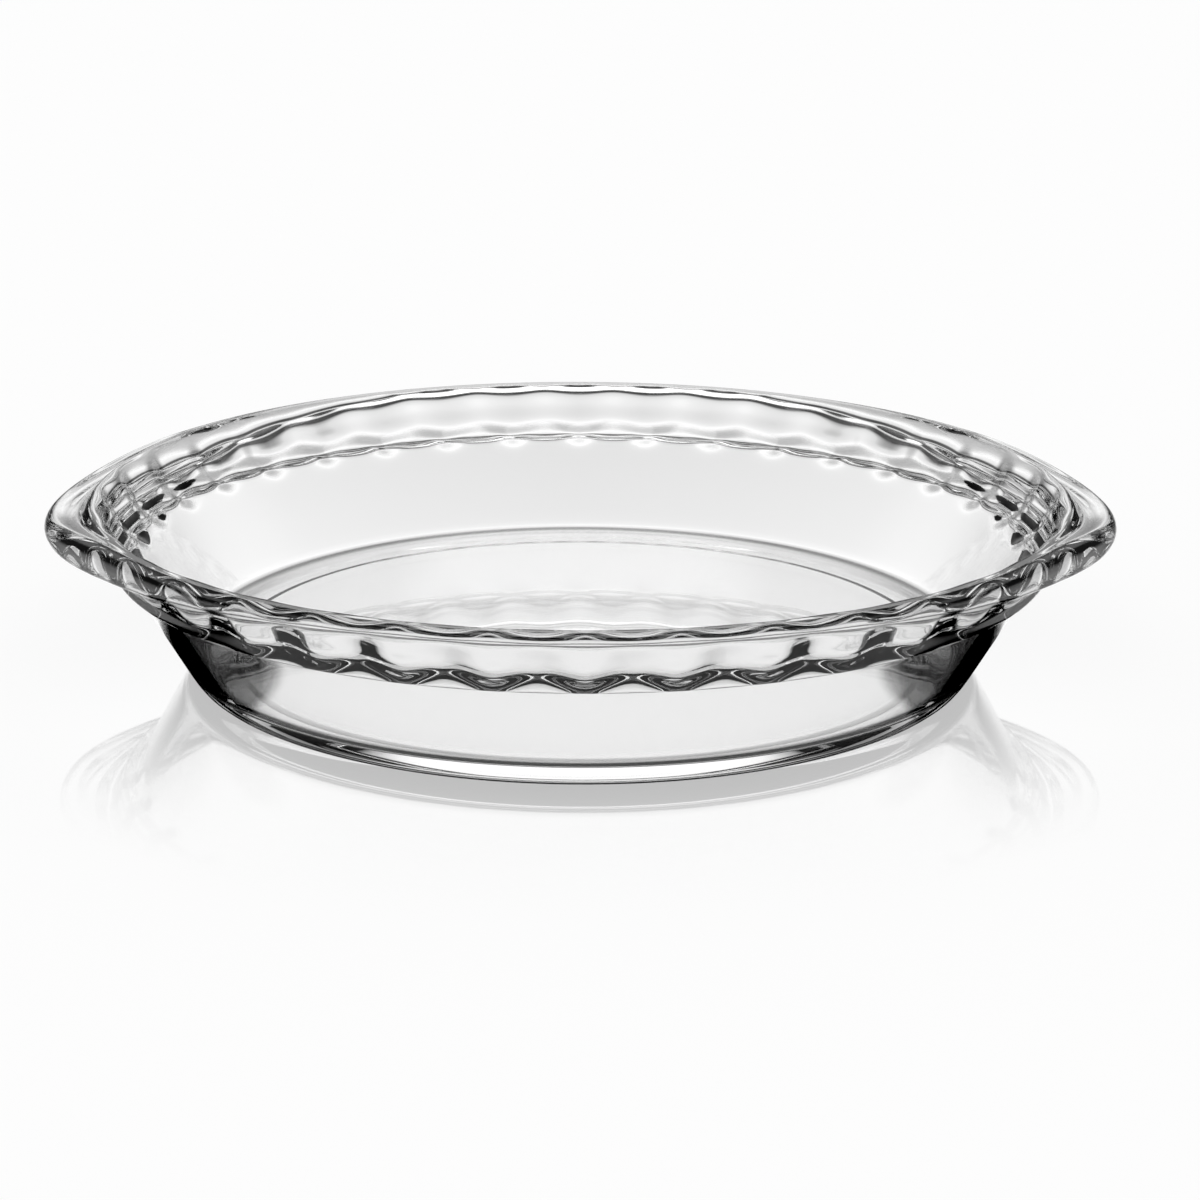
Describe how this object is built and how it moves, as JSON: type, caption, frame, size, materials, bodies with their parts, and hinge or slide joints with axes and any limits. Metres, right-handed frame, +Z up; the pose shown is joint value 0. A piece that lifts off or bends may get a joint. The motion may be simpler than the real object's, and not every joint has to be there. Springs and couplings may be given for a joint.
{
  "type": "pie dish",
  "caption": "Round clear glass pie dish with a sloping wall, a fluted band inside the rim and two drooping ear handles.",
  "frame": {"origin": "centre of the dish on the plane that its foot ring rests on", "axes": "+Z up out of the open top, X through the two ear handles, Y across the plain part of the rim"},
  "size_m": [0.2642, 0.245, 0.043],
  "materials": {
    "clear_glass": "fire-polished clear pressed glass"
  },
  "bodies": {
    "root": {"pie_dish": "clear_glass"}
  },
  "joints": []
}
